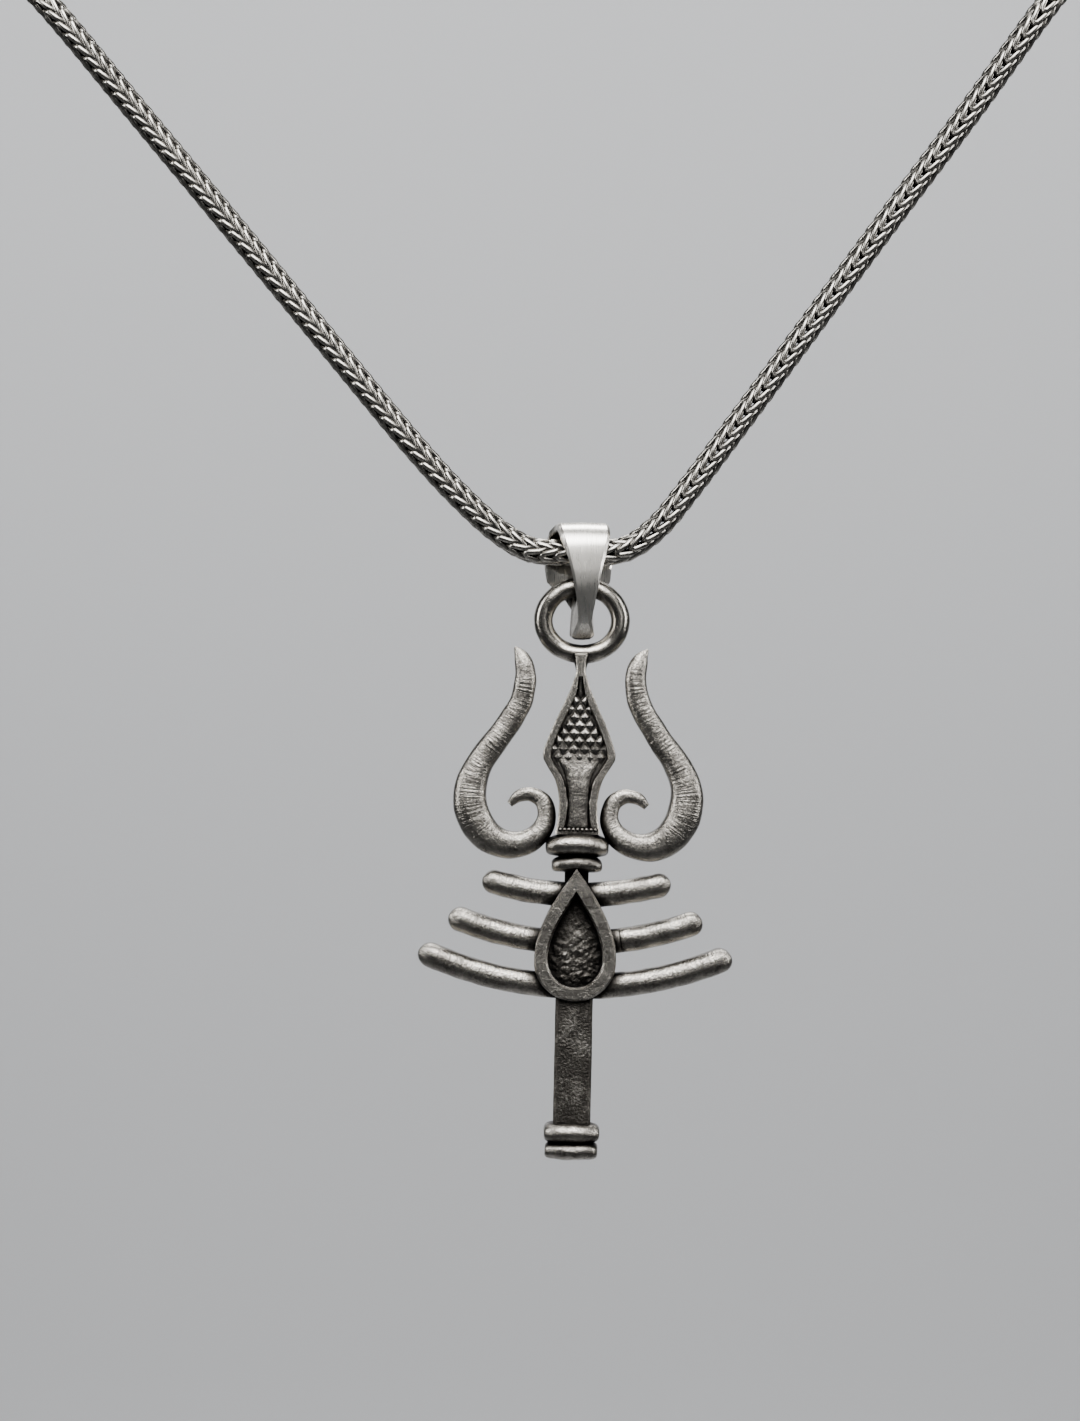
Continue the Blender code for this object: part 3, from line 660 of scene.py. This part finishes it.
def dropPlaces(width, top, length, y):
    right = []
    steps = teardrop["steps"]
    for step in range(1, steps + 1):
        share = step / steps
        right.append((width / 2 * math.sin(math.pi / 2 * share), top + length * teardrop["widest"] * share))
    for step in range(1, steps):
        angle = math.pi / 2 * step / steps
        right.append((width / 2 * math.cos(angle),
                      top + length * (teardrop["widest"] + (1 - teardrop["widest"]) * math.sin(angle))))
    left = [(-across, drop) for across, drop in reversed(right)]
    outline = [(0.0, top)] + right + [(0.0, top + length)] + left
    return [Vector((across * mm, y, -drop * mm)) for across, drop in outline]


def makeTeardrop():
    front, cut = teardrop["front"] * mm, teardrop["chamfer"]
    top, length, width = hang["dropTop"] - 0.2, teardrop["length"] + 0.2, teardrop["width"]
    innerTop = hang["dropTop"] + teardrop["apexRim"]
    innerLength = teardrop["length"] - teardrop["rim"] - teardrop["apexRim"]
    innerWidth = width - 2 * teardrop["rim"]
    bm = bmesh.new()
    loops = [
        addLoop(bm, dropPlaces(width, top, length, castingBack)),
        addLoop(bm, dropPlaces(width, top, length, -front + 1.3 * cut * mm)),
        addLoop(bm, dropPlaces(width - 2 * cut, top + 1.6 * cut, length - 2.6 * cut, -front)),
        addLoop(bm, dropPlaces(innerWidth + 2 * cut, innerTop - 1.6 * cut, innerLength + 2.6 * cut,
                               -front)),
        addLoop(bm, dropPlaces(innerWidth, innerTop, innerLength, -front + 1.2 * cut * mm)),
        addLoop(bm, dropPlaces(innerWidth - 0.12, innerTop + 0.1, innerLength - 0.16,
                               -front + teardrop["sink"] * mm)),
    ]
    stepPlate(bm, loops, capLast=False)
    roughen(bm, 0.03 * mm, 1.3 * mm, 5.0)
    addCastPiece("teardropFrame", bm, castSilver, 30)

    # the sunk floor is raw granular casting, cut a little larger than the opening
    bm = bmesh.new()
    floorY = -front + (teardrop["sink"] - 0.02) * mm
    middleDrop = innerTop + innerLength / 2
    place = (Matrix.Translation((0, floorY, -middleDrop * mm)) @ Matrix.Rotation(math.pi / 2, 4, "X")
             @ Matrix.Diagonal(((innerWidth / 2 + 0.4) * mm, (innerLength / 2 + 0.4) * mm, 1.0, 1.0)))
    bmesh.ops.create_grid(bm, x_segments=44, y_segments=72, size=1.0, matrix=place)
    outside = []
    for vert in bm.verts:
        down = (-vert.co.z / mm - innerTop) / innerLength
        flank = math.sin(math.pi / 2 * min(1.0, max(down, 0.0) / teardrop["widest"]))
        low = max(0.0, down - teardrop["widest"]) / (1 - teardrop["widest"])
        flank *= math.sqrt(max(0.0, 1.0 - low * low))
        if abs(vert.co.x) > (innerWidth / 2 * flank + 0.35) * mm:
            outside.append(vert)
        rough = noise.fractal(vert.co / (0.50 * mm), 0.6, 2.0, 4)
        curl = abs(noise.noise(vert.co / (0.30 * mm) + Vector((4, 4, 4))))
        fade = min(1.0, max(0.0, down * 2.2 - 0.5))
        vert.co.y -= (0.09 * rough + 0.50 * max(0.0, 0.20 - curl)) * (0.15 + 0.85 * fade) * mm
    bmesh.ops.delete(bm, geom=outside, context="VERTS")
    addCastPiece("teardropFloor", bm, sunkSilver, 180)


shaft = {"length": 11.1, "width": 3.4, "front": 1.2, "chamfer": 0.26}


def makeShaft():
    bm = bmesh.new()
    top, foot = hang["shaftTop"] - 0.6, hang["shaftTop"] + shaft["length"] + 0.2
    half, cut, front = shaft["width"] / 2, shaft["chamfer"], shaft["front"]
    loops = []
    for step in range(33):
        drop = top + (foot - top) * step / 32
        corners = [(-half, -castingBack / mm), (-half, 0.0), (-half, front - cut), (-half + cut, front),
                   (-half / 2, front), (0.0, front), (half / 2, front), (half - cut, front),
                   (half, front - cut), (half, 0.0), (half, -castingBack / mm), (0.0, -castingBack / mm)]
        loops.append(addLoop(bm, [Vector((x * mm, -y * mm, -drop * mm)) for x, y in corners]))
    bridgeAll(bm, loops)
    roughen(bm, 0.03 * mm, 2.4 * mm, 21.0)
    addCastPiece("shaft", bm, shaftSilver, 30)

    # the stem behind the teardrop's point ties the collar to the top bar
    bm = bmesh.new()
    loops = [sectionLoop(bm, Vector((0, 0, -drop * mm)), Vector((1, 0, 0)), 1.1 * mm, 0.2 * mm, castingBack,
                         16, 4.0, 8.0) for drop in (22.0, 23.0, 24.0, 25.0)]
    bridgeAll(bm, loops)
    addCastPiece("stem", bm, sunkSilver)


makeTeardrop()
makeShaft()
print("trident made")


# Bail

bail = {
    "wall": 0.76, "crest": 2.685, "height": 10.6, "tipThickness": 2.1, "ringGap": 0.4,
    "width": 4.75, "back": 6.2, "tip": 1.25, "flare": 2.7, "yaw": 8.5, "edge": 0.27,
    "fold": 0.7625, "foldDrop": 9.155, "leanTop": 10.0, "leanFoot": -25.0, "stations": 80,
    "holeHalf": 0.6, "holeFrom": 0.66, "holeRun": 0.1,
    # how far down the height, then which of the sizes above the width is a part of
    "frontTable": [
        (0.00, "width", 1.0), (0.10, "width", 0.95), (0.25, "width", 0.78), (0.45, "width", 0.57),
        (0.65, "width", 0.39), (0.80, "tip", 1.1), (0.863, "tip", 1.0), (0.96, "flare", 0.80),
        (1.00, "flare", 0.70)],
    "backTable": [
        (0.00, "width", 1.0), (0.06, "back", 0.90), (0.20, "back", 0.97), (0.40, "back", 1.0),
        (0.52, "back", 0.95), (0.68, "back", 0.42), (0.78, "tip", 1.0), (0.83, "tip", 1.0),
        (0.92, "flare", 0.98), (1.00, "flare", 0.70)],
}


def hullPlace(share, highRadius, highZ, lowRadius, lowZ, side):
    # along the outline round two circles, from the crest at 0 to the lowest point at 1
    flank = math.pi / 2 + math.asin((highRadius - lowRadius) / (highZ - lowZ))
    if share <= 0.4:
        angle = share / 0.4 * (flank if side > 0 else math.radians(90 - bail["leanTop"]))
        return Vector((0, side * highRadius * math.sin(angle), highZ + highRadius * math.cos(angle)))
    if share >= 0.8:
        angle = flank + (math.pi - flank) * (share - 0.8) / 0.2
        return Vector((0, side * lowRadius * math.sin(angle), lowZ + lowRadius * math.cos(angle)))
    top = hullPlace(0.4, highRadius, highZ, lowRadius, lowZ, side)
    foot = hullPlace(0.8, highRadius, highZ, lowRadius, lowZ, side)
    return top.lerp(foot, (share - 0.4) / 0.4)


def swellPlace(share, top):
    # the front swells: it leans back a little at its top and further in down to the fold
    lean, foot = math.radians(bail["leanTop"]), math.radians(bail["leanFoot"])
    fall = lean - foot
    length = (top.z - bail["crest"] + bail["foldDrop"]) * fall / (math.sin(lean) - math.sin(foot))
    here = lean - fall * (share - 0.4) / (bail["fold"] - 0.4)
    return Vector((0, top.y - length * (math.cos(here) - math.cos(lean)) / fall,
                   top.z - length * (math.sin(lean) - math.sin(here)) / fall))


def makeBail():
    lowRadius = bail["tipThickness"] / 2
    outer = (bail["crest"], 0.0, lowRadius, bail["crest"] - bail["height"] + lowRadius)
    inner = (bail["crest"] - bail["wall"], 0.0, ring["wire"] / 2 + bail["ringGap"],
             -hang["ringDrop"] + (ring["height"] - ring["wire"]) / 2)
    # no stations between the fold and 0.9, so that the tip has a flat facet
    count = bail["stations"]
    half = [i / count for i in range(round(bail["fold"] * count) + 1)]
    half += [0.9 + i / 100 for i in range(10)] + [1.0]
    swellTop = hullPlace(0.4, *outer, -1)
    swellFoot = swellPlace(bail["fold"], swellTop)
    stations = [(share, -1, "frontTable") for share in half]
    stations += [(share, 1, "backTable") for share in reversed(half[1:-1])]
    bm = bmesh.new()
    loops = []
    for share, side, table in stations:
        outside = hullPlace(share, *outer, side)
        inside = hullPlace(share, *inner, side)
        if side < 0 and 0.4 < share <= bail["fold"]:
            outside = swellPlace(share, swellTop)
            straight = swellTop.lerp(swellFoot, (share - 0.4) / (bail["fold"] - 0.4))
            inside.y += outside.y - straight.y
        drop = outer[0] - outside.z
        width = lerpTable([(s * bail["height"], bail[size] * part) for s, size, part in bail[table]],
                          drop) / 2
        inward = (inside - outside).normalized()
        cut = min(bail["edge"], width * 0.45)
        # the solid tip narrows inwards to the hole that the ring hangs in
        near = min(1.0, max(0.0, (share - bail["holeFrom"]) / bail["holeRun"]))
        hole = width - max(0.0, width - bail["holeHalf"]) * near
        across = Vector((1, 0, 0))
        crown = -inward * 0.05
        places = [outside - across * (width - cut), outside + crown, outside + across * (width - cut),
                  outside + across * width + inward * cut * 0.7, inside + across * hole - inward * 0.12,
                  inside + across * (hole - 0.12), inside - across * (hole - 0.12),
                  inside - across * hole - inward * 0.12, outside - across * width + inward * cut * 0.7]
        loops.append(addLoop(bm, [place * mm for place in places]))
    bridgeAll(bm, loops, closed=True)
    roughen(bm, 0.02 * mm, 0.9 * mm, 9.0)
    place = Matrix.Translation(chainLow) @ Matrix.Rotation(math.radians(bail["yaw"]), 4, "Z")
    addPiece("bailStrip", bm, place, "bail_body", "bail", bailSilver, 14)


makeBail()
print("bail made")


# Braided chain

chain = {
    "pitch": 0.68, "across": 0.62, "deep": 1.025, "long": 2.5, "wire": 0.30, "steps": 16, "sides": 6,
    "turnLeft": 40.0, "turnRight": 0.0, "dip": 0.16, "squeeze": 0.72, "thickness": 2.65,
    # the centreline in millimetres from the clasp, repeated from the part's source
    "route": [
        (-5.2, 0.0, 0.0), (-15.0, -1.0, -0.5), (-28.0, -4.6, -2.6), (-41.0, -11.5, -6.6),
        (-53.0, -22.0, -12.2), (-62.5, -36.0, -19.2), (-68.3, -53.0, -27.6), (-69.6, -72.0, -37.0),
        (-66.8, -90.0, -47.3), (-61.4, -104.5, -58.0), (-55.2, -114.0, -67.8), (-48.9, -118.0, -74.4),
        (-40.3, -118.0, -84.7), (-31.5, -118.0, -95.3), (-22.2, -118.0, -106.6), (-15.4, -118.0, -114.8),
        (-11.4, -118.0, -119.2), (-7.5, -118.0, -122.75), (-4.7, -118.0, -124.35), (-2.3, -118.0, -124.6),
        (0.0, -118.0, -124.6), (2.3, -118.0, -124.6), (4.3, -118.0, -124.15), (7.0, -118.0, -122.15),
        (9.7, -118.0, -118.85), (13.8, -118.0, -113.4), (20.6, -118.0, -104.2), (28.0, -118.0, -94.2),
        (35.5, -118.0, -84.2), (42.6, -118.0, -74.4), (48.6, -114.0, -67.1), (55.0, -104.5, -56.8),
        (60.8, -90.0, -46.3), (64.4, -72.0, -36.4), (64.2, -53.0, -27.2), (59.4, -36.0, -19.0),
        (50.8, -22.0, -12.1), (39.8, -11.5, -6.6), (27.5, -4.6, -2.6), (15.0, -1.0, -0.5),
        (5.2, 0.0, 0.0)],
}


def makeRouteFrames():
    # evenly spaced places along the route, each with its direction and its face
    route = smoothRoute([Vector(place) * mm for place in chain["route"]], 12)
    lengths = [0.0]
    for first, second in zip(route, route[1:]):
        lengths.append(lengths[-1] + (second - first).length)
    spacing = 0.1 * mm
    count = int(lengths[-1] / spacing)
    places, k = [], 0
    for i in range(count + 1):
        s = lengths[-1] * i / count
        while k < len(lengths) - 2 and lengths[k + 1] < s:
            k += 1
        places.append(route[k].lerp(route[k + 1], (s - lengths[k]) / (lengths[k + 1] - lengths[k])))
    forward = Vector((0, -1, 0))
    loopMiddle, frontBelow, sideAbove, meeting = -0.060, -0.064, -0.040, 0.008
    frames = []
    for i, place in enumerate(places):
        ahead = (places[min(i + 9, count)] - places[max(i - 9, 0)]).normalized()
        # the face follows the loop's outside: forward at the pendant, backward at the nape
        outward = Vector((place.x, place.y - loopMiddle, 0.0))
        if outward.length < 0.01 or place.z < frontBelow:
            outward = forward
        elif place.z < sideAbove:
            outward = outward.normalized().lerp(forward, (sideAbove - place.z) / (sideAbove - frontBelow))
        # the two sides meet inside the bail with their own turns
        turn = chain["turnLeft"] if place.x < 0 else chain["turnRight"]
        if abs(place.x) < meeting and place.z < -0.1:
            turn = chain["turnLeft"] + (chain["turnRight"] - chain["turnLeft"]) * (
                place.x + meeting) / (2 * meeting)
        face = (outward - ahead * outward.dot(ahead)).normalized()
        face = Matrix.Rotation(math.radians(turn), 3, ahead) @ face
        frames.append((place, ahead, face, face.cross(ahead)))
    return frames, lengths[-1], lengths[-1] / count


def makeBraid():
    frames, total, spacing = makeRouteFrames()
    across, deep, linkLength = (chain[key] * mm for key in ("across", "deep", "long"))
    wire, sides, steps = chain["wire"] * mm, chain["sides"], chain["steps"]
    # one link: a loop of wire folded so that its two ends stand up
    bm = bmesh.new()
    loops = []
    for step in range(steps):
        t = 2 * math.pi * step / steps
        centre, after = [Vector((across * math.cos(u), deep * signedPower(math.sin(u), chain["squeeze"])
                                 * (1 - chain["dip"] * math.sin(u) ** 8), linkLength * math.cos(u) ** 2))
                         for u in (t, t + 0.02)]
        ahead = (after - centre).normalized()
        out = Vector((centre.x, centre.y, 0)).normalized()
        out = (out - ahead * out.dot(ahead)).normalized()
        side = ahead.cross(out)
        loops.append(addLoop(bm, [centre + out * wire * math.cos(a) + side * wire * math.sin(a)
                                  for a in [2 * math.pi * k / sides for k in range(sides)]]))
    bridgeAll(bm, loops, closed=True)
    link = [vert.co.copy() for vert in bm.verts]
    count = int((total - linkLength) / (chain["pitch"] * mm))
    one = bpy.data.meshes.new("oneLink")
    bm.to_mesh(one)
    bm.free()
    bm = bmesh.new()
    for k in range(count):
        bm.from_mesh(one)
    bm.verts.ensure_lookup_table()
    proud = bm.verts.layers.float.new("proud")
    for k in range(count):
        start = (total - linkLength) * k / (count - 1)
        for i, place in enumerate(link):
            x, y, z = place
            if k % 2:
                x, y = y, -x
            at = min(max((start + z) / spacing, 0.0), len(frames) - 1.001)
            low = int(at)
            centre = frames[low][0].lerp(frames[low + 1][0], at - low)
            face, side = frames[low][2], frames[low][3]
            vert = bm.verts[k * len(link) + i]
            vert.co = centre + face * y + side * x
            vert[proud] = min(math.hypot(x, y) / (chain["thickness"] / 2 * mm), 1.0)
    bpy.data.meshes.remove(one)
    place = Matrix.Identity(4)
    addPiece("braidedChain", bm, place, "necklace", "chain", chainSilver, 70)
    print("braided chain:", count, "links")


makeBraid()


# Clasp

clasp = {"length": 14.0, "diameter": 4.6, "edge": 0.5, "bore": 1.625, "web": 4.9, "groove": 0.16}


def makeClasp():
    outside, end, cut = clasp["diameter"] / 2, clasp["length"] / 2, clasp["edge"]
    groove = clasp["groove"]
    half = [(end, clasp["bore"]), (end, outside - cut), (end - cut * 0.3, outside - cut * 0.3),
            (end - cut, outside), (end - 1.2, outside), (end - 1.35, outside - groove),
            (end - 1.65, outside - groove), (end - 1.8, outside), (end - 2.2, outside),
            (end - 2.35, outside - groove), (end - 2.65, outside - groove), (end - 2.8, outside),
            (0.25, outside), (0.12, outside - groove)]
    profile = [(clasp["web"], 0.0), (clasp["web"], clasp["bore"])] + half
    profile += [(-along, radius) for along, radius in reversed(profile)]
    bm = bmesh.new()
    line = [bm.verts.new((along * mm, radius * mm, 0.0)) for along, radius in profile]
    for first, second in zip(line, line[1:]):
        bm.edges.new((first, second))
    bmesh.ops.spin(bm, geom=bm.verts[:] + bm.edges[:], cent=(0, 0, 0), axis=(1, 0, 0),
                   angle=2 * math.pi, steps=48, use_merge=True)
    addPiece("barrelClasp", bm, Matrix.Identity(4), "necklace", "clasp", ringSilver, 30)


makeClasp()
print("clasp made")
